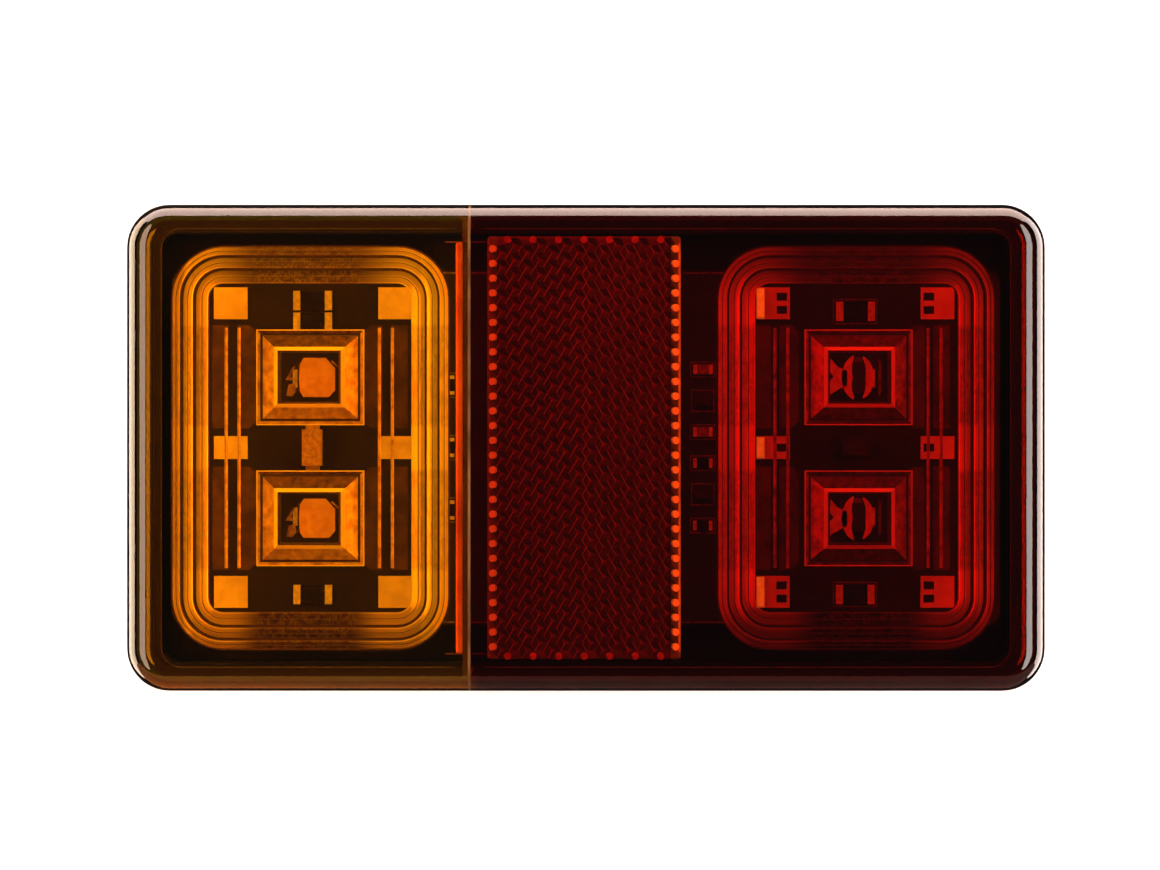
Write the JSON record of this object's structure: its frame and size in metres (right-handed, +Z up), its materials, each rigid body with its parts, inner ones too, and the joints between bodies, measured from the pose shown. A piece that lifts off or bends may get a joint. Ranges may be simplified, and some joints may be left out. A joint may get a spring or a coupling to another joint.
{
  "type": "tail light cluster",
  "caption": "Oblong trailer tail light: amber indicator and red stop and tail optics behind one two-colour lens, with a reflex reflector between them, on a black base with rear studs.",
  "frame": {"origin": "middle of the flat mounting face, midway between the two mounting studs", "axes": "the lens looks along -Y, the studs stand out along +Y, X runs along the lamp and +Z is up; the amber end is at -X"},
  "size_m": [0.15, 0.0506, 0.0794],
  "materials": {
    "base_plastic": "moulded, fine satin",
    "amber_plastic": "clear amber, polished",
    "red_plastic": "clear red, polished",
    "reflector_plastic": "clear red, prismatic back",
    "board_laminate": "black solder mask",
    "amber_source": "clear dome over phosphor",
    "red_source": "clear dome over die",
    "tin": "bright solder tin",
    "chip_ceramic": "glazed black over ceramic",
    "capacitor_ceramic": "fired ceramic",
    "component_epoxy": "moulded epoxy",
    "zinc_steel": "bright zinc plate",
    "grommet_rubber": "matt",
    "capacitor_epoxy": "moulded epoxy, yellow"
  },
  "bodies": {
    "root": {"base_housing": "base_plastic", "amber_lens": "amber_plastic", "red_lens": "red_plastic", "reflex_reflector": "reflector_plastic", "circuit_board": "board_laminate", "led_amber_upper": "amber_source", "led_amber_lower": "amber_source", "led_red_upper": "red_source", "led_red_lower": "red_source", "heat_spreaders_amber": "tin", "heat_spreaders_red": "tin", "resistors_amber": "chip_ceramic", "resistors_red": "chip_ceramic", "centre_capacitor": "capacitor_epoxy", "centre_diode": "component_epoxy", "transistors": "component_epoxy", "capacitors": "capacitor_ceramic", "small_resistors": "chip_ceramic", "reverse_diode": "component_epoxy", "wire_terminals": "tin", "board_screws": "zinc_steel", "mounting_studs": "zinc_steel", "cable_grommet": "grommet_rubber"}
  },
  "joints": []
}
